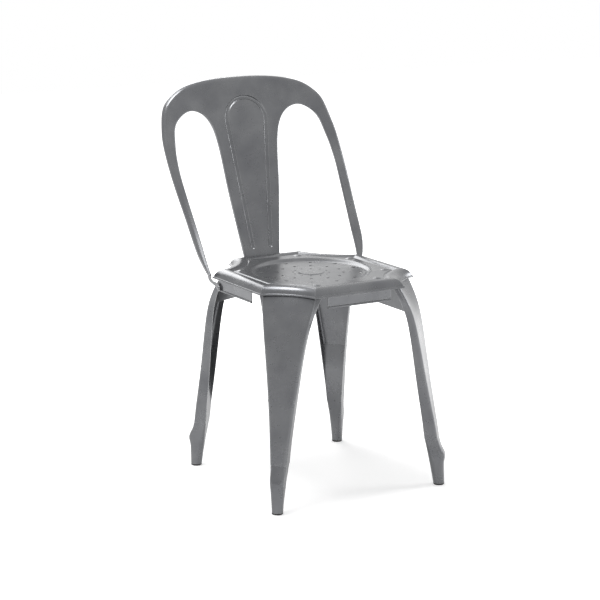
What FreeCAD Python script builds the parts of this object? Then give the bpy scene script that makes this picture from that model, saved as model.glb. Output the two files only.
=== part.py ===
import FreeCAD, Part
import math
import os
import Sketcher

Vector = FreeCAD.Vector

# All lengths are millimetres and all angles degrees. X runs to the sitter's left hand as seen from
# the front, -Y is the front, Z is up and the floor is Z = 0.
SIZES = {
    # pressed sheet
    "sheet_wall": 1.5,
    # outline of the seat at its hem
    "seat_half_width": 183.7,
    "seat_front_reach": 185.5,
    "seat_rear_reach": 205.0,
    "side_half_run": 101.0,
    "front_half_run": 106.4,
    "rear_half_run": 88.0,
    "front_corner_hollow": 14.0,
    "rear_corner_hollow": 17.0,
    # section of the seat
    "hem_height": 433.4,
    "hem_bead_size": 4.4,
    "roll_width": 36.0,
    "roll_rise": 16.8,
    "groove_rise": 12.2,
    "panel_rise": 14.0,
    "groove_width": 2.6,
    "dish_radius": 130.0,
    "dish_drop": 5.6,
    "dish_edge_width": 16.0,
    "centre_disc_radius": 27.5,
    "centre_disc_rise": 1.2,
    "dish_centre_reach": 8.5,
    "pip_size": 19.0,
    "pip_rise": 2.0,
    "pip_inset": 14.0,
    # drain holes
    "holes_per_ring": 12,
    "outer_ring_radius": 104.5,
    "outer_hole_size": 9.0,
    "middle_ring_radius": 68.5,
    "middle_hole_size": 7.0,
    "inner_ring_radius": 38.0,
    "inner_hole_size": 5.0,
    # aprons
    "apron_depth": 22.5,
    "apron_inset": 1.0,
    "apron_bead_radius": 2.2,
    "front_apron_length": 150.0,
    "rear_apron_length": 124.0,
    "side_apron_length": 140.0,
    "side_apron_centre": 6.0,
    # legs
    "leg_top_rise": 4.6,
    "leg_top_setback": 6.2,
    "leg_top_width": 117.0,
    "leg_top_hollow": 8.0,
    "leg_top_flange_depth": 11.8,
    "leg_flare": 18.0,
    "leg_bend_radius": 6.0,
    "shoulder_height": 340.0,
    "shoulder_reach": 25.0,
    "shoulder_width": 86.0,
    "front_foot_reach": 85.5,
    "rear_foot_reach": 75.5,
    "foot_size": 23.5,
    "foot_tuck": 3.5,
    "foot_top_height": 100.0,
    "foot_top_width": 34.0,
    "leg_low_flange_depth": 27.0,
    "heel_height": 62.0,
    "heel_width": 28.0,
    "heel_bump": 8.0,
    "neck_height": 46.0,
    "neck_push": 2.5,
    "closing_height": 230.0,
    # foot glides
    "glide_height": 4.0,
    "glide_edge": 1.2,
    "glide_shank_size": 15.0,
    "glide_shank_length": 9.0,
    "fit_clearance": 0.2,
    # braces
    "brace_wall": 2.5,
    "brace_centre_depth": 32.0,
    "brace_leg_clearance": 0.3,
    "brace_flat_reach": 70.0,
    "brace_end_height": 362.0,
    "brace_cross_reach": 9.7,
    # back
    "back_top_height": 825.5,
    "back_half_width": 215.3,
    "back_flange_depth": 12.0,
    "back_edge_radius": 8.0,
    "opening_edge_radius": 4.0,
    "opening_flange_depth": 8.0,
    "arm_tail_width": 12.0,
    "arm_tail_end_reach": 72.0,
    "arm_tail_end_drop": 15.0,
    "arm_tail_gap": 0.2,
    "arm_forward_reach": 114.0,
    "splat_foot_drop": 20.2,
    "splat_foot_reach": 205.3,
    "splat_lean": 0.254,
    "splat_foot_half_width": 40.0,
    "splat_rivet_spacing": 50.0,
    "splat_rivet_rise": 7.0,
    "emboss_width": 10.0,
    "emboss_depth": 3.0,
    "emboss_arch_radius": 48.0,
    "emboss_arch_height": 734.0,
    "emboss_foot_height": 464.0,
    "emboss_foot_half_width": 22.0,
    # rivets
    "rivet_head_size": 9.0,
    "rivet_head_rise": 2.2,
    "rivet_shank_size": 4.8,
}

doc = FreeCAD.newDocument("bistro_chair")
sheet = doc.addObject("Spreadsheet::Sheet", "Sizes")
for row, (alias, value) in enumerate(SIZES.items(), start=1):
    sheet.set(f"A{row}", alias)
    sheet.set(f"B{row}", str(value))
    sheet.setAlias(f"B{row}", alias)
doc.recompute()


def size(alias):
    return float(sheet.get(alias))


PARTS = []


# Shared helpers

def keep(item, label, place=None):
    item.Label = label
    if place is not None:
        item.Placement = place
    PARTS.append(item)
    return item


def shaped(label, shape):
    item = doc.addObject("Part::Feature", label)
    item.Shape = shape
    return keep(item, label)


def line(a, b):
    return Part.LineSegment(a, b).toShape()


def arc(a, b, c):
    return Part.Arc(a, b, c).toShape()


def origin_plane(body, role):
    return next(f for f in body.Origin.OriginFeatures if f.Role == role)


def add_body(label, plane):
    body = doc.addObject("PartDesign::Body", label)
    sketch = body.newObject("Sketcher::SketchObject", f"{label}_profile")
    sketch.AttachmentSupport = [(origin_plane(body, plane), "")]
    sketch.MapMode = "FlatFace"
    return body, sketch


def total(terms):
    # sum of named sizes, a leading minus taking one away
    return sum(-size(term[1:]) if term.startswith("-") else size(term) for term in terms)


def formula(terms):
    signed = [f"- Sizes.{term[1:]}" if term.startswith("-") else f"+ Sizes.{term}" for term in terms]
    return "0 mm " + " ".join(f"{text} * 1 mm" for text in signed)


def pin(sketch, kind, first, second, terms):
    # ties the offset of one sketch point from the origin to a sum of sizes, none meaning on the axis
    if terms:
        index = sketch.addConstraint(Sketcher.Constraint(kind, -1, 1, first, second, total(terms)))
        sketch.setExpression(f"Constraints[{index}]", formula(terms))
    else:
        axis = -2 if kind == "DistanceX" else -1
        sketch.addConstraint(Sketcher.Constraint("PointOnObject", first, second, axis))


def add_outline(sketch, corners, bulges=()):
    # closed outline through corners, each a pair of size sums; a bulge is an arc centred on the axis
    spots = [Vector(total(across), total(along), 0) for across, along in corners]
    for index, spot in enumerate(spots):
        after = spots[(index + 1) % len(spots)]
        if index in bulges:
            rise = after - spot
            centre_y = (after.y ** 2 + after.x ** 2 - spot.y ** 2 - spot.x ** 2) / (2 * rise.y)
            centre = Vector(0, centre_y, 0)
            start = math.atan2(spot.y - centre_y, spot.x)
            end = math.atan2(after.y - centre_y, after.x)
            swap = bulges[index] == "clockwise"
            circle = Part.Circle(centre, Vector(0, 0, 1), (spot - centre).Length)
            first, last = (end, start) if swap else (start, end)
            sketch.addGeometry(Part.ArcOfCircle(circle, first, last), False)
            sketch.addConstraint(Sketcher.Constraint("PointOnObject", index, 3, -2))
        else:
            sketch.addGeometry(Part.LineSegment(spot, after), False)
    for index, (across, along) in enumerate(corners):
        flipped = bulges and index in bulges and bulges[index] == "clockwise"
        before = (index - 1) % len(corners)
        before_flipped = bulges and before in bulges and bulges[before] == "clockwise"
        here = 2 if flipped else 1
        there = 1 if before_flipped else 2
        sketch.addConstraint(Sketcher.Constraint("Coincident", before, there, index, here))
        pin(sketch, "DistanceX", index, here, across)
        pin(sketch, "DistanceY", index, here, along)


def add_polygon(sketch, points):
    # closed outline of straight runs, each corner held by its own offsets
    for index, (x, y) in enumerate(points):
        after = points[(index + 1) % len(points)]
        sketch.addGeometry(Part.LineSegment(Vector(x, y, 0), Vector(after[0], after[1], 0)), False)
    for index, (x, y) in enumerate(points):
        sketch.addConstraint(Sketcher.Constraint("Coincident", (index - 1) % len(points), 2, index, 1))
        for kind, value, axis in (("DistanceX", x, -2), ("DistanceY", y, -1)):
            if value:
                sketch.addConstraint(Sketcher.Constraint(kind, -1, 1, index, 1, value))
            else:
                sketch.addConstraint(Sketcher.Constraint("PointOnObject", index, 1, axis))


def pad(body, sketch, length_alias):
    feature = body.newObject("PartDesign::Pad", f"{body.Name}_pad")
    feature.Profile = sketch
    feature.Midplane = True
    feature.Length = size(length_alias)
    feature.setExpression("Length", f"Sizes.{length_alias}")
    body.Tip = feature
    sketch.Visibility = False


def revolve(body, sketch):
    feature = body.newObject("PartDesign::Revolution", f"{body.Name}_turned")
    feature.Profile = sketch
    feature.ReferenceAxis = (sketch, ["V_Axis"])
    feature.Angle = 360
    body.Tip = feature
    sketch.Visibility = False


def turned(x, y, z, axis=Vector(0, 0, 1), angle=0.0):
    return FreeCAD.Placement(Vector(x, y, z), FreeCAD.Rotation(axis, angle))


# Sizes worked out from the others, added to the sheet so that sketches can use them

wall = size("sheet_wall")
hem = size("hem_height")
bead_radius = size("hem_bead_size") / 2
hem_foot = hem - bead_radius
panel_top = hem + size("panel_rise")
dish_floor = panel_top - size("dish_drop")
leg_top = hem + size("leg_top_rise")
splat_foot_level = hem - size("splat_foot_drop")
half_width = size("seat_half_width")


DERIVED = {
    "foot_half_size": size("foot_size") / 2,
    "glide_shank_radius": size("glide_shank_size") / 2,
    "splat_rivet_half_spacing": size("splat_rivet_spacing") / 2,
    "splat_rivet_drop": hem_foot - splat_foot_level - size("splat_rivet_rise"),
}
for row, (alias, value) in enumerate(DERIVED.items(), start=len(SIZES) + 1):
    sheet.set(f"A{row}", alias)
    sheet.set(f"B{row}", str(value))
    sheet.setAlias(f"B{row}", alias)
doc.recompute()


def reach_of(end):
    return size("seat_front_reach") if end < 0 else size("seat_rear_reach")


def run_of(end):
    return size("front_half_run") if end < 0 else size("rear_half_run")


def hollow_of(end):
    return size("front_corner_hollow") if end < 0 else size("rear_corner_hollow")


def corner_frame(side, end):
    # middle of the straight chord across one corner, its outward normal and its half length
    on_side = Vector(side * half_width, end * size("side_half_run"), 0)
    on_end = Vector(side * run_of(end), end * reach_of(end), 0)
    middle = (on_side + on_end) * 0.5
    chord = on_end - on_side
    normal = Vector(abs(chord.y) * side, abs(chord.x) * end, 0).normalize()
    return middle, normal, chord.Length / 2


# Seat

def seat_corner(side, end, inset, height):
    middle, normal, half_chord = corner_frame(side, end)
    hollow = hollow_of(end)
    base = (half_chord ** 2 + hollow ** 2) / (2 * hollow)
    centre = middle + normal * (base - hollow)
    radius = base + inset
    x = side * (half_width - inset)
    y = end * (reach_of(end) - inset)
    on_side = Vector(x, centre.y - end * math.sqrt(radius ** 2 - (centre.x - x) ** 2), height)
    on_end = Vector(centre.x - side * math.sqrt(radius ** 2 - (centre.y - y) ** 2), y, height)
    deep = centre - normal * radius
    return on_side, Vector(deep.x, deep.y, height), on_end


def seat_outline(inset, height):
    front_right = seat_corner(1, -1, inset, height)
    rear_right = seat_corner(1, 1, inset, height)
    rear_left = seat_corner(-1, 1, inset, height)
    front_left = seat_corner(-1, -1, inset, height)
    return Part.Wire([
        line(front_left[2], front_right[2]),
        arc(front_right[2], front_right[1], front_right[0]),
        line(front_right[0], rear_right[0]),
        arc(rear_right[0], rear_right[1], rear_right[2]),
        line(rear_right[2], rear_left[2]),
        arc(rear_left[2], rear_left[1], rear_left[0]),
        line(rear_left[0], front_left[0]),
        arc(front_left[0], front_left[1], front_left[2]),
    ])


def seat_band(profile, ruled=False):
    return Part.makeLoft([seat_outline(inset, height) for inset, height in profile], True, ruled)


def thinned(profile):
    # the same section one sheet thickness further in
    points = []
    for index, (inset, height) in enumerate(profile):
        before = profile[max(index - 1, 0)]
        after = profile[min(index + 1, len(profile) - 1)]
        run = after[0] - before[0]
        rise = after[1] - before[1]
        length = math.hypot(run, rise)
        points.append((inset + wall * rise / length, height - wall * run / length))
    points[0] = (points[0][0], hem)
    return points


def roll_profile():
    width = size("roll_width")
    rise = size("roll_rise")
    groove = size("groove_rise")
    flank = size("groove_width")
    hump = [(0.03, 0.0), (0.066, 0.333), (0.194, 0.69), (0.361, 0.917), (0.556, 1.0), (0.778, 0.952)]
    section = [(width * a, hem + rise * b) for a, b in hump]
    section.append((width - flank, hem + groove + 0.28 * (rise - groove)))
    section.append((width, hem + groove))
    section.append((width + flank, panel_top))
    return section


def seat_shell():
    outside = roll_profile()
    inside = thinned(outside)
    skin = seat_band(outside[:-1]).fuse(seat_band(outside[-2:], True))
    core = seat_band(inside[:-1]).fuse(seat_band(inside[-2:], True))
    return skin.cut(core)


def seat_bead():
    centre = size("sheet_wall") / 2
    angles = [math.radians(a) for a in (-90, -60, -30, 0, 30, 60, 90)]
    rim = [(centre - bead_radius * math.cos(a), hem + bead_radius * math.sin(a)) for a in angles]
    bore = centre + bead_radius
    inner = seat_band([(bore, hem - 2 * bead_radius), (bore, hem + 2 * bead_radius)], True)
    return seat_band(rim).cut(inner)


def dish():
    # turned plate with a soft step at its edge and a low disc at its centre
    edge = size("dish_radius")
    step = size("dish_edge_width")
    disc = size("centre_disc_radius")
    disc_top = dish_floor + size("centre_disc_rise")
    half_drop = (panel_top + dish_floor) / 2

    def side(shift):
        outer = Vector(edge, 0, panel_top - shift)
        upper = Vector(edge - step * 0.22, 0, panel_top - size("dish_drop") * 0.13 - shift)
        middle = Vector(edge - step * 0.5, 0, half_drop - shift)
        lower = Vector(edge - step * 0.78, 0, dish_floor + size("dish_drop") * 0.13 - shift)
        inner = Vector(edge - step, 0, dish_floor - shift)
        curve = Part.BSplineCurve()
        curve.interpolate([outer, upper, middle, lower, inner])
        rim = Vector(disc + wall, 0, dish_floor - shift)
        crown = Vector(disc - wall, 0, disc_top - shift)
        pole = Vector(0, 0, disc_top - shift)
        return [curve.toShape(), line(inner, rim), line(rim, crown), line(crown, pole)], outer, pole

    top, top_outer, top_pole = side(0)
    low, low_outer, low_pole = side(wall)
    closings = [line(top_pole, low_pole), line(low_outer, top_outer)]
    wire = Part.Wire(Part.sortEdges(top + low + closings)[0])
    return Part.Face(wire).revolve(Vector(0, 0, 0), Vector(0, 0, 1), 360)


def pip_centres():
    inset = size("roll_width") + size("pip_inset")
    spots = []
    for side in (-1, 1):
        for end in (-1, 1):
            on_side, deep, on_end = seat_corner(side, end, inset, panel_top)
            spots.append(on_side)
            spots.append(on_end)
    return spots


seat_plate = seat_shell()
dish_spot = Vector(0, size("dish_centre_reach"), 0)
dish_bore = Part.makeCylinder(size("dish_radius"), size("panel_rise"), dish_spot + Vector(0, 0, hem + wall))
dish_shape = dish()
dish_shape.translate(dish_spot)
pip_radius = size("pip_size") / 2
pip_rise = size("pip_rise")
pip_ball = (pip_radius ** 2 + pip_rise ** 2) / (2 * pip_rise)
pip_skins = []
pip_cores = []
for spot in pip_centres():
    ball_centre = spot + Vector(0, 0, pip_rise - pip_ball)
    post = Part.makeCylinder(pip_radius, pip_rise + wall / 2, spot - Vector(0, 0, wall / 2))
    pip_skins.append(Part.makeSphere(pip_ball, ball_centre).common(post))
    pip_cores.append(Part.makeSphere(pip_ball - wall, ball_centre))
seat_plate = seat_plate.cut([dish_bore]).fuse([seat_bead(), dish_shape] + pip_skins).cut(pip_cores)
seat_blank = doc.addObject("Part::Feature", "seat_blank")
seat_blank.Shape = seat_plate

drills = []
for ring in ("outer", "middle", "inner"):
    for index in range(int(size("holes_per_ring"))):
        drill = doc.addObject("Part::Cylinder", f"{ring}_drain_{index + 1}")
        drill.setExpression("Radius", f"Sizes.{ring}_hole_size / 2 * 1 mm")
        drill.setExpression("Height", "Sizes.hem_height * 1 mm")
        turn = f"({index} * 360 / Sizes.holes_per_ring * 1 deg)"
        drill.setExpression("Placement.Base.x", f"Sizes.{ring}_ring_radius * cos{turn} * 1 mm")
        across = f"Sizes.{ring}_ring_radius * sin{turn} + Sizes.dish_centre_reach"
        drill.setExpression("Placement.Base.y", f"({across}) * 1 mm")
        drill.setExpression("Placement.Base.z", "Sizes.hem_height * 0.5 mm")
        drills.append(drill)
drill_set = doc.addObject("Part::MultiFuse", "drain_drills")
drill_set.Shapes = drills
seat = doc.addObject("Part::Cut", "seat_pan")
seat.Base = seat_blank
seat.Tool = drill_set
doc.recompute()
keep(seat, "seat_pan")


# Aprons, each one section padded along its run and turned to its side of the seat

def add_apron(label, length_alias, place, drill_spots):
    body, sketch = add_body(label, "YZ_Plane")
    corners = [
        ([], []),
        (["-sheet_wall"], []),
        (["-sheet_wall"], ["-apron_depth"]),
        ([], ["-apron_depth"]),
        ([], ["-apron_depth", "apron_bead_radius", "apron_bead_radius"]),
    ]
    add_outline(sketch, corners, {3: "counter"})
    pad(body, sketch, length_alias)
    if drill_spots:
        holes = body.newObject("Sketcher::SketchObject", f"{label}_hole_spots")
        holes.AttachmentSupport = [(origin_plane(body, "XZ_Plane"), "")]
        holes.MapMode = "FlatFace"
        for across, along in drill_spots:
            spot = Vector(total(across), total(along), 0)
            radius = size("rivet_shank_size") / 2 + size("fit_clearance")
            index = holes.addGeometry(Part.Circle(spot, Vector(0, 0, 1), radius), False)
            pin(holes, "DistanceX", index, 3, across)
            pin(holes, "DistanceY", index, 3, along)
            ring = holes.addConstraint(Sketcher.Constraint("Radius", index, radius))
            text = "Sizes.rivet_shank_size / 2 * 1 mm + Sizes.fit_clearance * 1 mm"
            holes.setExpression(f"Constraints[{ring}]", text)
        pocket = body.newObject("PartDesign::Pocket", f"{label}_holes")
        pocket.Profile = holes
        pocket.Type = 1
        pocket.Midplane = True
        body.Tip = pocket
        holes.Visibility = False
    doc.recompute()
    return keep(body, label, place)

apron_z = hem_foot
apron_y = {-1: -(reach_of(-1) - size("apron_inset")), 1: reach_of(1) - size("apron_inset")}
apron_x = half_width - size("apron_inset")
splat_spots = [
    (["-splat_rivet_spacing", "splat_rivet_half_spacing"], ["-splat_rivet_drop"]),
    (["splat_rivet_half_spacing"], ["-splat_rivet_drop"]),
]
right_spot = [(["side_apron_centre", "-arm_tail_end_reach"], ["-arm_tail_end_drop"])]
left_spot = [(["arm_tail_end_reach", "-side_apron_centre"], ["-arm_tail_end_drop"])]
side_y = size("side_apron_centre")
add_apron("apron_front", "front_apron_length", turned(0, apron_y[-1], apron_z, angle=180), [])
add_apron("apron_rear", "rear_apron_length", turned(0, apron_y[1], apron_z), splat_spots)
add_apron("apron_right", "side_apron_length", turned(apron_x, side_y, apron_z, angle=-90), right_spot)
add_apron("apron_left", "side_apron_length", turned(-apron_x, side_y, apron_z, angle=90), left_spot)


# Legs, each an open channel folded from sheet that closes into a foot below the heel

def foot_reach_of(end):
    return size("front_foot_reach") if end < 0 else size("rear_foot_reach")


def leg_slope(end):
    return (foot_reach_of(end) - size("shoulder_reach")) / size("shoulder_height")


def leg_reach(end, height):
    # how far the outer face stands out from the corner chord
    above = height - size("shoulder_height")
    straight = size("shoulder_reach") - leg_slope(end) * above
    if above <= 0:
        return straight
    full = leg_top - size("shoulder_height")
    top_reach = size("leg_top_hollow") - size("leg_top_setback") - hollow_of(end)
    fall = size("shoulder_reach") - leg_slope(end) * full - top_reach
    return straight - fall * (above / full) ** 2


def blend(height, low, high, at_low, at_high):
    share = (height - low) / (high - low)
    return at_low + (at_high - at_low) * share


def leg_width(height):
    low = size("foot_top_height")
    middle = size("shoulder_height")
    share = (height - low) / (leg_top - low)
    bow = size("shoulder_width") - blend(middle, low, leg_top, size("foot_top_width"), size("leg_top_width"))
    middle_share = (middle - low) / (leg_top - low)
    bow_share = share * (1 - share) / (middle_share * (1 - middle_share))
    return blend(height, low, leg_top, size("foot_top_width"), size("leg_top_width")) + bow * bow_share


def leg_hollow(height):
    start = size("shoulder_height") + size("leg_bend_radius")
    if height <= start:
        return size("sheet_wall") / 5
    share = (height - start) / (leg_top - start)
    return size("sheet_wall") / 5 + (size("leg_top_hollow") - size("sheet_wall") / 5) * share ** 2


def leg_point(side, end, outward, across, height):
    middle, normal, half_chord = corner_frame(side, end)
    along = Vector(-normal.y, normal.x, 0) * side * end
    spot = middle + normal * outward + along * across
    return Vector(spot.x, spot.y, height)


def channel_section(side, end, height):
    reach = leg_reach(end, height)
    width = leg_width(height)
    hollow = leg_hollow(height)
    bend = size("leg_bend_radius")
    low = size("foot_top_height")
    depth = blend(height, low, leg_top, size("leg_low_flange_depth"), size("leg_top_flange_depth"))
    spread = max(0, (height - size("shoulder_height") + bend) / (leg_top - size("shoulder_height")))
    edge = (width + size("leg_flare") * spread ** 2) / 2
    half = width / 2
    corner = bend * (1 - math.sqrt(0.5))
    inner_corner = wall + (bend - wall) * (1 - math.sqrt(0.5))

    def spot(outward, across):
        return leg_point(side, end, reach - outward, across, height)

    outer = [spot(depth, -edge), spot(bend, -half), spot(corner, corner - half), spot(0, bend - half)]
    outer += [spot(hollow, 0), spot(0, half - bend), spot(corner, half - corner), spot(bend, half)]
    outer.append(spot(depth, edge))
    inner = [spot(depth, edge - wall), spot(bend, half - wall), spot(inner_corner, half - inner_corner)]
    inner += [spot(wall, half - bend), spot(hollow + wall, 0), spot(wall, bend - half)]
    inner += [spot(inner_corner, inner_corner - half), spot(bend, wall - half), spot(depth, wall - edge)]
    edges = []
    for points in (outer, inner):
        edges.append(line(points[0], points[1]))
        edges.append(arc(points[1], points[2], points[3]))
        edges.append(arc(points[3], points[4], points[5]))
        edges.append(arc(points[5], points[6], points[7]))
        edges.append(line(points[7], points[8]))
        edges.append(None)
    edges[5] = line(outer[8], inner[0])
    edges[11] = line(inner[8], outer[0])
    return Part.Wire(edges)


def eased(share):
    # soft start and soft stop between 0 and 1
    return (1 - math.cos(math.pi * min(max(share, 0), 1))) / 2


def heel_push(height):
    # how far the outer face stands beyond the straight line of the leg
    top = size("foot_top_height")
    heel = size("heel_height")
    neck = size("neck_height")
    if height >= heel:
        return size("heel_bump") * eased((top - height) / (top - heel))
    taper = (size("neck_push") + size("foot_tuck")) / (neck - size("glide_height"))
    rise = size("heel_bump") - size("neck_push") - taper * (heel - neck)
    return size("neck_push") + taper * (height - neck) + rise * eased((height - neck) / (heel - neck))


def foot_width(height):
    heel = size("heel_height")
    if height >= heel:
        return blend(height, heel, size("foot_top_height"), size("heel_width"), size("foot_top_width"))
    share = eased((height - size("glide_height")) / (heel - size("glide_height")))
    return size("foot_size") + (size("heel_width") - size("foot_size")) * share


def foot_faces(end, height):
    # outer and inner face of the foot, as distances out from the corner chord
    top = size("foot_top_height")
    low = size("glide_height")
    outer = leg_reach(end, height) + heel_push(height)
    top_inner = leg_reach(end, top) - size("leg_low_flange_depth")
    low_inner = leg_reach(end, low) - size("foot_tuck") - size("foot_size")
    return outer, blend(height, low, top, low_inner, top_inner)


foot_roundness = 0.49


def foot_section(side, end, height, inset):
    outer, inner = foot_faces(end, height)
    width = foot_width(height)
    share = (height - size("glide_height")) / (size("foot_top_height") - size("glide_height"))
    radius = width * foot_roundness - inset
    radius += (size("leg_bend_radius") + wall - size("foot_top_width") * foot_roundness) * share
    tight = width * foot_roundness - inset
    tight += (wall * 1.3 - size("foot_top_width") * foot_roundness) * share ** 2
    half = width / 2 - inset
    front = outer - inset
    back = inner + inset
    cut = radius * (1 - math.sqrt(0.5))
    tight_cut = tight * (1 - math.sqrt(0.5))

    def spot(outward, across):
        return leg_point(side, end, outward, across, height)

    return Part.Wire([
        line(spot(front, radius - half), spot(front, half - radius)),
        arc(spot(front, half - radius), spot(front - cut, half - cut), spot(front - radius, half)),
        line(spot(front - radius, half), spot(back + tight, half)),
        arc(spot(back + tight, half), spot(back + tight_cut, half - tight_cut), spot(back, half - tight)),
        line(spot(back, half - tight), spot(back, tight - half)),
        arc(spot(back, tight - half), spot(back + tight_cut, tight_cut - half), spot(back + tight, -half)),
        line(spot(back + tight, -half), spot(front - radius, -half)),
        arc(spot(front - radius, -half), spot(front - cut, cut - half), spot(front, radius - half)),
    ])


def foot_heights():
    top = size("foot_top_height")
    count = 8
    return [top + (size("glide_height") - top) * index / count for index in range(count + 1)]


def closing_section(side, end, share):
    # strip between the flanges: flush with the foot at its low end, against the web at its high end
    low = size("foot_top_height")
    height = low + (size("closing_height") - low) * share
    sunk = 2 * eased(share / 2) * (size("leg_low_flange_depth") - 1.6 * wall)
    back = leg_reach(end, height) - size("leg_low_flange_depth") + sunk
    half = leg_width(height) / 2 - wall / 2
    corners = [(back, -half), (back, half), (back + wall, half), (back + wall, -half), (back, -half)]
    return Part.makePolygon([leg_point(side, end, outward, across, height) for outward, across in corners])


def leg(side, end):
    low = size("foot_top_height")
    middle = size("shoulder_height")
    steps = [0, 0.33, 0.67, 1.0]
    heights = [low + (middle - low) * step for step in steps]
    heights += [middle + (leg_top - middle) * step for step in (0.35, 0.67, 1.0)]
    channel = Part.makeLoft([channel_section(side, end, height) for height in heights], True, False)
    foot = []
    for inset in (0, wall):
        sections = [foot_section(side, end, height, inset) for height in foot_heights()]
        foot.append(Part.makeLoft(sections, True, False))
    shares = [index / 5 for index in range(6)]
    closing = Part.makeLoft([closing_section(side, end, share) for share in shares], True, False)
    return channel.fuse([foot[0].cut(foot[1]), closing])


for side, side_name in ((-1, "left"), (1, "right")):
    for end, end_name in ((-1, "front"), (1, "rear")):
        shaped(f"leg_{end_name}_{side_name}", leg(side, end))


# Foot glides

def add_glide(label, side, end):
    body, sketch = add_body(label, "XZ_Plane")
    corners = [
        ([], []),
        (["foot_half_size", "-glide_edge"], []),
        (["foot_half_size"], ["glide_edge"]),
        (["foot_half_size"], ["glide_height"]),
        (["glide_shank_radius"], ["glide_height"]),
        (["glide_shank_radius"], ["glide_height", "glide_shank_length"]),
        ([], ["glide_height", "glide_shank_length"]),
    ]
    add_outline(sketch, corners)
    revolve(body, sketch)
    doc.recompute()
    reach = size("shoulder_reach") + leg_slope(end) * (size("shoulder_height") - size("glide_height"))
    centre = leg_point(side, end, reach - size("foot_tuck") - size("foot_size") / 2, 0, 0)
    return keep(body, label, turned(centre.x, centre.y, 0))


for side, side_name in ((-1, "left"), (1, "right")):
    for end, end_name in ((-1, "front"), (1, "rear")):
        add_glide(f"glide_{end_name}_{side_name}", side, end)


# Crossed braces, two upright plates that halve into each other under the dish

def diagonal_of(side, end):
    middle, normal, half_chord = corner_frame(side, end)
    run = middle - Vector(0, size("brace_cross_reach"), 0)
    return run.Length, run.normalize(), normal


def brace_reach(side, end, height):
    length, heading, normal = diagonal_of(side, end)
    back = leg_hollow(height) + wall + size("brace_leg_clearance")
    return length + (leg_reach(end, height) - back) / abs(heading.dot(normal))


def add_brace(label, side, notch_up):
    # local x runs towards the front end of the plate
    body, sketch = add_body(label, "XZ_Plane")
    top = dish_floor - wall - size("fit_clearance")
    tip = size("brace_end_height")
    flat = top - size("brace_centre_depth")
    shelf = size("brace_flat_reach")
    heading = diagonal_of(side, -1)[1]
    other = diagonal_of(-side, -1)[1]
    skew = abs(heading.dot(other))
    half = (size("brace_wall") / 2) * (1 + skew) / math.sqrt(1 - skew ** 2) + size("fit_clearance")
    notch = (top + flat) / 2 + (-1 if notch_up else 1) * size("fit_clearance") / 2
    bend = hem_foot - size("fit_clearance")
    middle = (bend + tip) / 2
    front = [(brace_reach(side, -1, leg_top) - wall, top), (brace_reach(side, -1, bend), bend)]
    front += [(brace_reach(side, -1, middle), middle), (brace_reach(side, -1, tip), tip)]
    rear = [(-brace_reach(-side, 1, leg_top) + wall, top), (-brace_reach(-side, 1, bend), bend)]
    rear += [(-brace_reach(-side, 1, middle), middle), (-brace_reach(-side, 1, tip), tip)]
    upper = [(-half, top), (-half, notch), (half, notch), (half, top)] if notch_up else []
    lower = [] if notch_up else [(half, flat), (half, notch), (-half, notch), (-half, flat)]
    points = upper + front + [(shelf, flat)] + lower + [(-shelf, flat)] + rear[::-1]
    add_polygon(sketch, points)
    pad(body, sketch, "brace_wall")
    doc.recompute()
    angle = math.degrees(math.atan2(heading.y, heading.x))
    return keep(body, label, turned(0, size("brace_cross_reach"), 0, angle=angle))


add_brace("brace_left_front", -1, True)
add_brace("brace_right_front", 1, False)


# Back, one pressed sheet: the splat leans back, the arms come forward to the sides of the seat

def curved(table, value):
    # smooth curve through a short table of pairs
    count = len(table)
    slopes = []
    for index in range(count):
        before = table[max(index - 1, 0)]
        after = table[min(index + 1, count - 1)]
        slopes.append((after[1] - before[1]) / (after[0] - before[0]))
    index = 0
    while index < count - 2 and value > table[index + 1][0]:
        index += 1
    span = table[index + 1][0] - table[index][0]
    t = (value - table[index][0]) / span
    rise = table[index + 1][1] - table[index][1]
    a = slopes[index] * span - rise
    b = rise - slopes[index + 1] * span
    return table[index][1] + t * rise + t * (1 - t) * (a * (1 - t) + b * t)


back_rise = size("back_top_height") - hem
back_half = size("back_half_width")

# how far the arms come forward: over the height of the back, and from its middle out to its side
arm_forward = [(-0.07, 1.088), (0.0, 1.0), (0.221, 0.724), (0.45, 0.434)]
arm_forward += [(0.68, 0.189), (0.833, 0.088), (1.06, 0.07)]
arm_share = [(0.0, 0.0), (0.29, 0.0), (0.44, 0.14), (0.58, 0.42)]
arm_share += [(0.72, 0.72), (0.836, 0.9), (0.93, 1.0), (1.05, 1.1)]


def back_form(x, z):
    splat = size("splat_foot_reach") + size("splat_lean") * (z - splat_foot_level)
    forward = size("arm_forward_reach") * curved(arm_forward, (z - hem) / back_rise)
    return splat - forward * curved(arm_share, abs(x) / back_half)


def even_knots(first, last, spans):
    # cubic knots from first to last, and the places of the poles that make a straight run
    knots = [first + (last - first) * index / spans for index in range(spans + 1)]
    full = [first] * 3 + knots + [last] * 3
    places = [sum(full[index + 1:index + 4]) / 3 for index in range(spans + 3)]
    return knots, [4] + [1] * (spans - 1) + [4], places


def pressed_surface():
    # front of the sheet, with x and z themselves as its two parameters
    across_knots, across_counts, columns = even_knots(-back_half * 1.05, back_half * 1.05, 18)
    margin = back_rise * 0.05
    low = splat_foot_level - margin
    up_knots, up_counts, rows = even_knots(low, size("back_top_height") + margin, 14)
    surface = Part.BSplineSurface()
    poles = [[Vector(x, back_form(x, z), z) for z in rows] for x in columns]
    surface.buildFromPolesMultsKnots(poles, across_counts, up_counts, across_knots, up_knots,
                                     False, False, 3, 3)
    return surface


sheet_front = pressed_surface()


def back_spot(x, z, depth=0.0):
    return sheet_front.value(x, z) + Vector(0, depth, 0)


def scaled(points):
    return [Vector(back_half * across, 0, hem + back_rise * up) for across, up in points]


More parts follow.
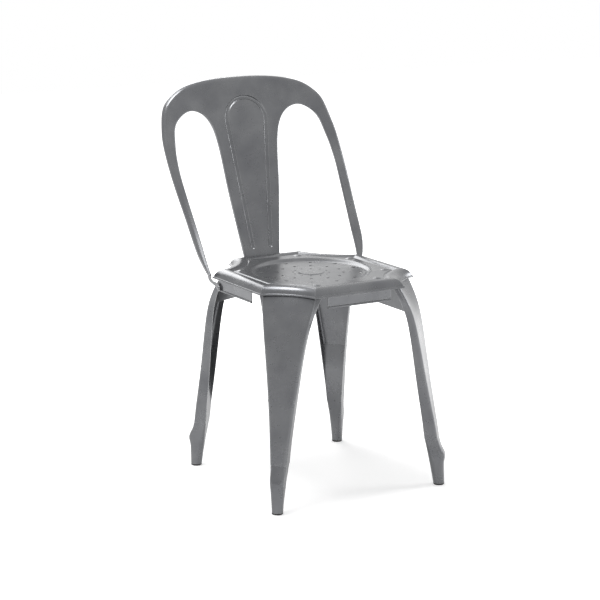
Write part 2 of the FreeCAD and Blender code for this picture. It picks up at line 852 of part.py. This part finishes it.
# outlines as shares of the half width and of the height above the seat's hem
splat_foot = (size("splat_foot_half_width") / back_half, (splat_foot_level - hem) / back_rise)
rim_right = [(0.877, 0.0066), (0.886, 0.0245), (0.917, 0.06), (0.938, 0.0985)]
rim_right += [(0.9545, 0.17), (0.968, 0.2846), (0.985, 0.399), (0.9985, 0.527)]
rim_right += [(1.0, 0.616), (0.989, 0.7055), (0.9615, 0.777), (0.906, 0.8635)]
rim_top = [(0.827, 0.9095), (0.72, 0.9477), (0.557, 0.9758), (0.325, 0.9936), (0.0, 1.0)]
splat_side = [splat_foot, (0.2, 0.0092), (0.2475, 0.2), (0.301, 0.43), (0.3507, 0.667)]
opening = splat_side + [(0.3846, 0.7334), (0.4738, 0.8023), (0.627, 0.8304), (0.7664, 0.7947)]
opening += [(0.8268, 0.7564), (0.8593, 0.6952), (0.8825, 0.6327), (0.895, 0.5702), (0.8992, 0.509)]
opening += [(0.895, 0.4478), (0.8885, 0.3866), (0.8746, 0.2654), (0.8616, 0.1442)]
opening += [(0.8580, 0.0857), (0.846, 0.0066)]
roll_folds = 5
roll_growth = 0.1


def spline(points):
    curve = Part.BSplineCurve()
    curve.interpolate(points)
    return curve


def stations(curve, count):
    first = curve.FirstParameter
    last = curve.LastParameter
    found = []
    for index in range(count + 1):
        at = first + (last - first) * index / count
        heading = curve.tangent(at)[0]
        found.append((curve.value(at), Vector(-heading.z, 0, heading.x)))
    return found


def roll_at(spot, radius):
    # the rolled edge tightens where the arm runs out into its tail, but not beside the splat
    if abs(spot.x) < back_half / 2:
        return radius
    return min(radius, wall * 1.3 + (spot.z - hem) * roll_growth)


def lip_points(spot, inward, radius, depth):
    # section of a rolled edge: round from the sheet to its flange and back along the inner side
    outer = roll_at(spot, radius)
    inner = outer - wall

    def at(inset, back):
        place = spot + inward * inset
        return back_spot(place.x, place.z, back)

    turns = [math.pi / 2 * index / roll_folds for index in range(roll_folds + 1)]
    outside = [at(outer - outer * math.sin(turn), outer - outer * math.cos(turn)) for turn in turns]
    inside = [at(outer - inner * math.sin(turn), outer - inner * math.cos(turn)) for turn in reversed(turns)]
    return outside + [at(0, depth), at(wall, depth)] + inside


def ruled(first, second):
    # strip of straight lines between two rails that share their knots
    surface = Part.BSplineSurface()
    poles = [first.getPoles(), second.getPoles()]
    surface.buildFromPolesMultsKnots(poles, [2, 2], first.getMultiplicities(), [0, 1], first.getKnots(),
                                     False, False, 1, 3)
    return surface.toShape()


def lip(places, radius, depth):
    # faces of a rolled edge, its front and back rails, and its two end sections
    rows = [lip_points(spot, inward, radius, depth) for spot, inward in places]
    marks = [index / (len(rows) - 1) for index in range(len(rows))]
    rails = []
    for points in zip(*rows):
        rail = Part.BSplineCurve()
        rail.interpolate(Points=list(points), Parameters=marks)
        rails.append(rail)
    faces = [ruled(first, second) for first, second in zip(rails[:-1], rails[1:])]
    return faces, (rails[0].toShape(), rails[-1].toShape()), (rows[0], rows[-1])


def mirrored(points):
    return [Vector(-p.x, p.y, p.z) for p in reversed(points)]


def flipped(shapes):
    return [shape.mirror(Vector(0, 0, 0), Vector(1, 0, 0)) for shape in shapes]


def on_sheet(first, second, depth):
    # edge between two points that lies on the sheet
    spans = 12
    steps = [first + (second - first) * (index / spans) for index in range(spans + 1)]
    return spline([back_spot(step.x, step.z, depth) for step in steps]).toShape()


def back_sheet():
    # the sheet with its rolled edges, sewn from its faces into one thin solid
    outer_half = scaled(rim_right + rim_top)
    outer_curve = spline(outer_half + mirrored(outer_half[:-1]))
    opening_curve = spline(scaled(opening))
    rim, rim_rails, rim_ends = lip(
        stations(outer_curve, 48), size("back_edge_radius"), size("back_flange_depth"))
    right, right_rails, right_ends = lip(
        stations(opening_curve, 36), size("opening_edge_radius"), size("opening_flange_depth"))
    left = flipped(right)
    left_rails = flipped(right_rails)
    left_ends = [[Vector(-p.x, p.y, p.z) for p in points] for points in right_ends]
    faces = rim + right + left
    crossings = []
    for index, depth in ((0, 0), (-1, wall)):
        foot = on_sheet(left_ends[0][index], right_ends[0][index], depth)
        right_tip = on_sheet(right_ends[1][index], rim_ends[0][index], depth)
        left_tip = on_sheet(rim_ends[1][index], left_ends[1][index], depth)
        crossings.append((foot, right_tip, left_tip))
        edges = [rim_rails[index], left_rails[index], right_rails[index], foot, right_tip, left_tip]
        surface = sheet_front.copy()
        surface.translate(Vector(0, depth, 0))
        face = Part.Face(surface, Part.Wire(Part.sortEdges(edges)[0]))
        face.validate()
        faces.append(face)
    faces += [Part.makeRuledSurface(front, back) for front, back in zip(*crossings)]
    for points in list(rim_ends) + list(right_ends) + left_ends:
        faces.append(Part.Face(Part.makePolygon(points + points[:1])))
    skin = Part.Compound(faces)
    skin.sewShape(0.01)
    return Part.Solid(skin.Shells[0])


def emboss_path(ahead):
    # inverted U on the splat, its sides touching the arch
    radius = size("emboss_arch_radius")
    centre_z = size("emboss_arch_height")
    foot = (size("emboss_foot_half_width"), size("emboss_foot_height"))
    run = math.hypot(foot[0], foot[1] - centre_z)
    bearing = math.atan2(foot[1] - centre_z, foot[0]) + math.acos(radius / run)
    touch = (radius * math.cos(bearing), centre_z + radius * math.sin(bearing))

    def spot(x, z):
        return back_spot(x, z, -ahead)

    right = line(spot(*foot), spot(*touch))
    arch = arc(spot(*touch), spot(0, centre_z + radius), spot(-touch[0], touch[1]))
    left = line(spot(-touch[0], touch[1]), spot(-foot[0], foot[1]))
    return Part.Wire([right, arch, left]), spot(*foot), spot(-foot[0], foot[1])


def emboss_tube(radius, ahead):
    path, first, last = emboss_path(ahead)
    heading = path.Edges[0].tangentAt(path.Edges[0].FirstParameter)
    ring = Part.Wire([Part.Circle(first, heading, radius).toShape()])
    tube = path.makePipeShell([ring], True, True)
    return tube.fuse([Part.makeSphere(radius, first), Part.makeSphere(radius, last)])


def arm_tail(side):
    # flat strip that carries the arm down to its rivet on the side apron
    half = size("arm_tail_width") / 2
    end_y = size("arm_tail_end_reach")
    end_z = hem_foot - size("arm_tail_end_drop")
    start_z = hem + wall + bead_radius * 1.6
    front_y = back_form(side * back_half * 0.868, start_z)
    inside = half_width - wall / 2 + bead_radius + size("arm_tail_gap")
    x = side * inside if side > 0 else -inside - wall
    top_front = Vector(x, front_y, start_z)
    top_back = Vector(x, front_y + size("arm_tail_width"), start_z)
    lean = Vector(0, end_y - front_y, end_z - start_z).normalize()
    across = Vector(0, -lean.z, lean.y)
    centre = Vector(x, end_y, end_z)
    low = centre - across * half
    high = centre + across * half
    nose = centre + lean * half
    upper_bend = top_front - Vector(0, half * 0.2, half * 1.1)
    lower_bend = top_back - Vector(0, half * 0.2, half * 1.6)
    sides = sorted((low, high), key=lambda point: point.z)
    upper_curve = spline([top_front, upper_bend, upper_bend * 0.45 + sides[1] * 0.55, sides[1]]).toShape()
    lower_curve = spline([sides[0], lower_bend * 0.45 + sides[0] * 0.55, lower_bend, top_back]).toShape()
    edges = [upper_curve, arc(sides[1], nose, sides[0]), lower_curve, line(top_back, top_front)]
    strip = Part.Face(Part.Wire(edges)).extrude(Vector(wall, 0, 0))
    bore = size("rivet_shank_size") / 2 + size("fit_clearance")
    hole = Part.makeCylinder(bore, 4 * wall, Vector(x - wall, end_y, end_z), Vector(1, 0, 0))
    return strip.cut(hole)


back_shape = back_sheet()
emboss_half = size("emboss_width") / 2
emboss_radius = (emboss_half ** 2 + size("emboss_depth") ** 2) / (2 * size("emboss_depth"))
ahead = emboss_radius - size("emboss_depth")
groove = emboss_tube(emboss_radius, ahead)
ridge = emboss_tube(emboss_radius + wall, ahead)
front_side = sheet_front.toShape().extrude(Vector(0, -3 * emboss_radius, 0))
back_shape = back_shape.fuse(ridge.cut(front_side)).cut(groove)
bores = []
splat_rivet_z = splat_foot_level + size("splat_rivet_rise")
for side in (-1, 1):
    spot = Vector(side * size("splat_rivet_spacing") / 2, 0, splat_rivet_z)
    bore = size("rivet_shank_size") / 2 + size("fit_clearance")
    bores.append(Part.makeCylinder(bore, size("back_top_height"), spot, Vector(0, 1, 0)))
back_shape = back_shape.cut(bores).fuse([arm_tail(-1), arm_tail(1)])
shaped("back_panel", back_shape)


# Rivets

def dome(radius, level, rise):
    steps = (0.0, 0.4, 0.7, 0.9)
    rim = [(radius * math.sqrt(1 - step ** 2), level + rise * step) for step in steps]
    return rim + [(0, level + rise)]


def rivet_points(levels):
    # half section: low inner head, shank, collar between the sheets, shank, domed outer head
    head = size("rivet_head_size") / 2
    shank = size("rivet_shank_size") / 2
    rise = size("rivet_head_rise")
    inner, collar_low, collar_high, outer = levels
    stem = [(0, inner - rise / 2), (head - rise / 2, inner - rise / 2), (head, inner), (shank, inner)]
    stem += [(shank, collar_low), (head, collar_low), (head, collar_high), (shank, collar_high)]
    return stem + [(shank, outer)] + dome(head, outer, rise)


tail_stand = size("apron_inset") - wall / 2 + bead_radius + size("arm_tail_gap")
arm_levels = (-wall, 0.0, tail_stand, tail_stand + wall)
for side, side_name in ((-1, "left"), (1, "right")):
    body, sketch = add_body(f"arm_rivet_{side_name}", "XZ_Plane")
    add_polygon(sketch, rivet_points(arm_levels))
    revolve(body, sketch)
    doc.recompute()
    place = turned(side * apron_x, size("arm_tail_end_reach"), hem_foot - size("arm_tail_end_drop"),
                   Vector(0, 1, 0), side * 90)
    keep(body, body.Label, place)

splat_face = back_form(0, splat_rivet_z) - apron_y[1]
tilt_room = size("splat_lean") * size("rivet_head_size") / 2
splat_levels = (-wall, 0.0, splat_face - tilt_room, splat_face + wall + tilt_room)
pair = []
for side in (-1, 1):
    points = [Vector(x, 0, z) for x, z in rivet_points(splat_levels)]
    rivet = Part.Face(Part.makePolygon(points + points[:1])).revolve(Vector(0, 0, 0), Vector(0, 0, 1), 360)
    rivet.Placement = turned(side * size("splat_rivet_spacing") / 2, apron_y[1], splat_rivet_z,
                             Vector(1, 0, 0), -90)
    pair.append(rivet)
shaped("splat_rivets", Part.makeCompound(pair))


# Write the parts, moved together so that the origin lies under the middle of the whole chair

problems = []
depths = [point.y for item in PARTS for point in item.Shape.tessellate(0.1)[0]]
low_y = min(depths)
high_y = max(depths)
shift = Vector(0, -(low_y + high_y) / 2, 0)
for item in PARTS:
    place = item.Placement
    item.Placement = FreeCAD.Placement(place.Base + shift, place.Rotation)
doc.recompute()
for item in doc.Objects:
    if "Invalid" in item.State or "Error" in item.State:
        problems.append(f"{item.Label}: {item.State}")
for item in PARTS:
    if item.Shape.isNull() or not item.Shape.isValid():
        problems.append(f"{item.Label}: shape not valid")
if problems:
    raise RuntimeError("; ".join(problems))
os.makedirs("parts", exist_ok=True)
for item in PARTS:
    item.Shape.exportStep(f"parts/{item.Label}.step")
    box = FreeCAD.BoundBox()
    for point in item.Shape.tessellate(0.1)[0]:
        box.add(point)
    print(item.Label, len(item.Shape.Solids), round(item.Shape.Volume), [round(v, 1) for v in (
        box.XMin, box.YMin, box.ZMin, box.XMax, box.YMax, box.ZMax)])
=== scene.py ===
import math
import bpy
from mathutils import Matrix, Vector


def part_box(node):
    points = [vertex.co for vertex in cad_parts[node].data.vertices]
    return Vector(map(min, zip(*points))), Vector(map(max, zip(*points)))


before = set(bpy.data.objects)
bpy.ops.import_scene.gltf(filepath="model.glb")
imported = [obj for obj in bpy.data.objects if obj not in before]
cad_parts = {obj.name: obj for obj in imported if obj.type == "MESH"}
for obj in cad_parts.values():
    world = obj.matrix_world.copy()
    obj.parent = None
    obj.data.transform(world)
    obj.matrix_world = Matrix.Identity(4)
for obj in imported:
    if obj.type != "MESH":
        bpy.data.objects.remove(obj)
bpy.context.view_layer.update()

print("frame loaded", sorted(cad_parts))

white = (1, 1, 1, 1)

# Sockets of a Mix node that mixes colors, by number because their names repeat
mixFactor = 0
mixFirst = 6
mixSecond = 7
mixResult = 2


def hexColor(text):
    # sRGB hex to the linear values that shader sockets take, along the standard sRGB curve
    parts = [int(text[start:start + 2], 16) / 255 for start in (1, 3, 5)]
    linear = [part / 12.92 if part <= 0.04045 else ((part + 0.055) / 1.055) ** 2.4 for part in parts]
    return (*linear, 1.0)


def newTree(owner):
    owner.use_nodes = True
    owner.node_tree.nodes.clear()
    return owner.node_tree


def addNode(tree, kind, settings=None, sockets=None, links=None):
    # one node: its own settings, fixed socket values, and links as socket -> (node, output)
    node = tree.nodes.new("ShaderNode" + kind)
    for name, value in (settings or {}).items():
        setattr(node, name, value)
    for name, value in (sockets or {}).items():
        node.inputs[name].default_value = value
    for name, (source, output) in (links or {}).items():
        tree.links.new(source.outputs[output], node.inputs[name])
    return node


def fromTo(before, after):
    # socket values that carry the first pair of numbers over to the second
    return {"From Min": before[0], "From Max": before[1], "To Min": after[0], "To Max": after[1]}


# Satin powder coat over pressed steel: even mid grey, a soft broad shine, a very fine orange peel,
# and a lighter line where the sheet is folded or hemmed, partly a painted highlight of the bends and
# partly wear
powderCoat = {
    "color": "#747577",
    "shade": "#646568",
    # lighter colour along folds and hems: painted highlight of the bends, with some wear
    "highlightAndWear": "#b4b5b6",
    "metallic": 0.7,             # metal flakes in the coat
    "roughness": (0.22, 0.34),   # on the smoothest and on the most scuffed spots
    "cloudSize": 60,             # mm across the slow changes of tone
    "cloudDetail": 3,
    "cloudTurn": (0.3, 0.7),     # noise values between which color turns to shade
    "peelSize": 1.6,             # mm between the humps of the orange peel
    "peelDetail": 2,
    "peelStrength": 0.12,
    "peelHeight": 0.12,          # mm
    "scuffSize": 38.4615,        # mm across the largest scuffs
    "scuffDetail": 9,
    "scuffRoughness": 0.72,
    "highlightAndWearTurn": (0.38, 0.62),   # noise values between which the painted fold highlight and its wear grow
    "highlightAndWearShare": (0.55, 1.0),   # share of the painted highlight and wear line at those two values
    "foldWidth": 1.2,            # mm of painted highlight and wear line along folds
    "foldSamples": 6,
    "foldTurn": (0.86, 0.985),   # cosine of the turn where the line is full and where it ends
}


def makePowderCoat(name, look):
    material = bpy.data.materials.new(name)
    tree = newTree(material)
    place = addNode(tree, "TexCoord")
    onPiece = {"Vector": (place, "Object")}
    cloud = addNode(tree, "TexNoise", {}, {
        "Scale": 1000 / look["cloudSize"],
        "Detail": look["cloudDetail"],
    }, onPiece)
    peel = addNode(tree, "TexNoise", {}, {
        "Scale": 1000 / look["peelSize"],
        "Detail": look["peelDetail"],
    }, onPiece)
    scuff = addNode(tree, "TexNoise", {}, {
        "Scale": 1000 / look["scuffSize"],
        "Detail": look["scuffDetail"],
        "Roughness": look["scuffRoughness"],
    }, onPiece)

    # slow changes of tone
    slow = addNode(tree, "MapRange", {}, fromTo(look["cloudTurn"], (0, 1)), {"Value": (cloud, "Fac")})
    tone = addNode(tree, "Mix", {"data_type": "RGBA"}, {
        mixFirst: hexColor(look["color"]),
        mixSecond: hexColor(look["shade"]),
    }, {mixFactor: (slow, "Result")})

    # lighter line along the folds, a painted highlight of the bends with some wear, broken up by the
    # scuffs
    rounded = addNode(tree, "Bevel", {"samples": look["foldSamples"]},
                      {"Radius": look["foldWidth"] / 1000})
    flat = addNode(tree, "NewGeometry")
    turn = addNode(tree, "VectorMath", {"operation": "DOT_PRODUCT"}, {}, {
        0: (rounded, "Normal"),
        1: (flat, "Normal"),
    })
    fold = addNode(tree, "MapRange", {}, fromTo(look["foldTurn"], (1, 0)), {"Value": (turn, "Value")})
    patch = addNode(tree, "MapRange", {}, fromTo(look["highlightAndWearTurn"], look["highlightAndWearShare"]),
                    {"Value": (scuff, "Fac")})
    highlightAndWearMask = addNode(tree, "Math", {"operation": "MULTIPLY"}, {}, {
        0: (fold, "Result"),
        1: (patch, "Result"),
    })
    # mixes the painted highlight, with its wear, into the tone along the folds
    toneWithHighlightAndWear = addNode(tree, "Mix", {"data_type": "RGBA"}, {mixSecond: hexColor(look["highlightAndWear"])}, {
        mixFactor: (highlightAndWearMask, "Value"),
        mixFirst: (tone, mixResult),
    })

    rough = addNode(tree, "MapRange", {}, fromTo((0, 1), look["roughness"]), {"Value": (scuff, "Fac")})
    bump = addNode(tree, "Bump", {}, {
        "Strength": look["peelStrength"],
        "Distance": look["peelHeight"] / 1000,
    }, {"Height": (peel, "Fac")})
    surface = addNode(tree, "BsdfPrincipled", {}, {"Metallic": look["metallic"]}, {
        "Base Color": (toneWithHighlightAndWear, mixResult),
        "Roughness": (rough, "Result"),
        "Normal": (bump, "Normal"),
    })
    addNode(tree, "OutputMaterial", links={"Surface": (surface, "BSDF")})
    return material


# The same coat on the braces under the seat: duller, and painted paler to stand in for the light the
# pale floor throws up on them
floorLitUndersideCoat = {
    **powderCoat,
    # paler tones: light from the floor below painted into the colour
    "color": "#8d8e90",
    "shade": "#828385",
    "roughness": (0.37, 0.49),
}


# Moulded polyethylene foot plug: near black and matt, with a fine spark-eroded grain and some dust
footPlug = {
    "color": "#2b2b2c",
    "dust": "#4a4947",
    "roughness": 0.62,
    "grainSize": 0.8,          # mm
    "grainDetail": 2,
    "grainStrength": 0.25,
    "grainHeight": 0.1,        # mm
    "dustSize": 11.1111,       # mm across the patches of dust
    "dustDetail": 6,
    "dustRoughness": 0.7,
    "dustTurn": (0.5, 0.75),   # noise values between which the dust thickens
    "dustShare": (0.0, 0.6),   # share of dust at those two values
}


def makeFootPlug(name, look):
    material = bpy.data.materials.new(name)
    tree = newTree(material)
    place = addNode(tree, "TexCoord")
    onPiece = {"Vector": (place, "Object")}
    grain = addNode(tree, "TexNoise", {}, {
        "Scale": 1000 / look["grainSize"],
        "Detail": look["grainDetail"],
    }, onPiece)
    dust = addNode(tree, "TexNoise", {}, {
        "Scale": 1000 / look["dustSize"],
        "Detail": look["dustDetail"],
        "Roughness": look["dustRoughness"],
    }, onPiece)
    film = addNode(tree, "MapRange", {}, fromTo(look["dustTurn"], look["dustShare"]),
                   {"Value": (dust, "Fac")})
    tint = addNode(tree, "Mix", {"data_type": "RGBA"}, {
        mixFirst: hexColor(look["color"]),
        mixSecond: hexColor(look["dust"]),
    }, {mixFactor: (film, "Result")})
    bump = addNode(tree, "Bump", {}, {
        "Strength": look["grainStrength"],
        "Distance": look["grainHeight"] / 1000,
    }, {"Height": (grain, "Fac")})
    surface = addNode(tree, "BsdfPrincipled", {}, {"Roughness": look["roughness"]}, {
        "Base Color": (tint, mixResult),
        "Normal": (bump, "Normal"),
    })
    addNode(tree, "OutputMaterial", links={"Surface": (surface, "BSDF")})
    return material


coat = makePowderCoat("satinPowderCoatSteel", powderCoat)
finishes = {
    "brace": makePowderCoat("floorLitBraceCoat", floorLitUndersideCoat),
    "glide": makeFootPlug("mouldedFootPlug", footPlug),
}
for name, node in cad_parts.items():
    finish = finishes.get(name.split("_")[0], coat)
    node.data.materials.clear()
    node.data.materials.append(finish)
print("finishes on CAD nodes")


# Studio of the photo: a floor and room that are almost white, three broad lamps and a long lens.
# Lengths are in metres, angles in degrees
studio = {
    "floorColor": "#efefef",
    "floorSize": 14,
    "floorGlow": (0.42, 1.1),       # near the chair, where its shadow has to show, and far away
    "glowDistance": (0.6, 1.8),     # from the middle of the floor
    "roomLight": 0.4,               # the room's light on the chair, where 1 is the white it shows
    "lampAim": (0, 0, 0.4),
    "lamps": [
        # name, place, size, watts
        ("keyLamp", (-0.6, 0.2, 3.1), 1.5, 62),
        ("fillLamp", (3.0, -0.7, 1.3), 1.4, 40),
        ("backLamp", (0.4, 2.8, 2.0), 2.2, 40),
    ],
    "camera": {
        "azimuth": -30.478,
        "elevation": 12.36,
        "distance": 4.19156,
        "across": -0.0273,          # to the right of the seat's middle
        "forward": 0.00975,         # in front of it
        "height": 0.3835,
        "lens": 119.55,             # mm
        "sensor": 36,               # mm
        "reach": 50,
    },
}


def addSeen(tree):
    # 1 for what the camera sees, straight or in a reflection, and 0 for what only lights the chair
    path = addNode(tree, "LightPath")
    return addNode(tree, "Math", {"operation": "MAXIMUM"}, {}, {
        0: (path, "Is Camera Ray"),
        1: (path, "Is Glossy Ray"),
    })


def makeFloor(look):
    bpy.ops.object.select_all(action="DESELECT")
    bpy.ops.mesh.primitive_plane_add(size=look["floorSize"], location=(0, 0, 0))
    floor = bpy.context.object
    floor.name = "paleFloor"
    material = bpy.data.materials.new("matPaleFloor")
    tree = newTree(material)
    seen = addSeen(tree)
    plain = addNode(tree, "BsdfDiffuse", {}, {"Color": hexColor(look["floorColor"])})
    place = addNode(tree, "TexCoord")
    away = addNode(tree, "VectorMath", {"operation": "LENGTH"}, {}, {0: (place, "Object")})
    rise = addNode(tree, "MapRange", {"interpolation_type": "SMOOTHSTEP"},
                   fromTo(look["glowDistance"], look["floorGlow"]), {"Value": (away, "Value")})
    glow = addNode(tree, "Emission", {}, {"Color": white}, {"Strength": (rise, "Result")})
    lit = addNode(tree, "AddShader", {}, {}, {0: (plain, "BSDF"), 1: (glow, "Emission")})
    pick = addNode(tree, "MixShader", {}, {}, {
        0: (seen, "Value"),
        1: (plain, "BSDF"),
        2: (lit, "Shader"),
    })
    addNode(tree, "OutputMaterial", links={"Surface": (pick, "Shader")})
    floor.data.materials.append(material)


def makeRoom(look):
    world = bpy.data.worlds.new("paleRoom")
    bpy.context.scene.world = world
    tree = newTree(world)
    seen = addSeen(tree)
    strength = addNode(tree, "MapRange", {}, fromTo((0, 1), (look["roomLight"], 1)),
                       {"Value": (seen, "Value")})
    sky = addNode(tree, "Background", {}, {"Color": white}, {"Strength": (strength, "Result")})
    addNode(tree, "OutputWorld", links={"Surface": (sky, "Background")})


def addLamps(look):
    for name, place, size, watts in look["lamps"]:
        data = bpy.data.lights.new(name, "AREA")
        data.shape = "DISK"
        data.size = size
        data.energy = watts
        lamp = bpy.data.objects.new(name, data)
        bpy.context.scene.collection.objects.link(lamp)
        lamp.location = place
        outward = Vector(place) - Vector(look["lampAim"])
        lamp.rotation_euler = outward.to_track_quat("Z", "Y").to_euler()


def addCamera(view):
    azimuth = math.radians(view["azimuth"])
    elevation = math.radians(view["elevation"])
    level = math.cos(elevation)
    back = Vector((math.sin(azimuth) * level, -math.cos(azimuth) * level, math.sin(elevation)))
    right = Vector((math.cos(azimuth), math.sin(azimuth), 0))
    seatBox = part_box("seat_pan")
    middleY = (seatBox[0][1] + seatBox[1][1]) / 2 - view["forward"]
    data = bpy.data.cameras.new("photoCamera")
    data.lens = view["lens"]
    data.sensor_width = view["sensor"]
    data.sensor_fit = "HORIZONTAL"
    data.clip_end = view["reach"]
    camera = bpy.data.objects.new("photoCamera", data)
    bpy.context.scene.collection.objects.link(camera)
    target = right * view["across"] + Vector((0, middleY, view["height"]))
    camera.location = target + back * view["distance"]
    camera.rotation_euler = back.to_track_quat("Z", "Y").to_euler()
    bpy.context.scene.camera = camera


makeFloor(studio)
makeRoom(studio)
addLamps(studio)
addCamera(studio["camera"])
bpy.context.scene.view_settings.view_transform = "Standard"
print("studio ready")
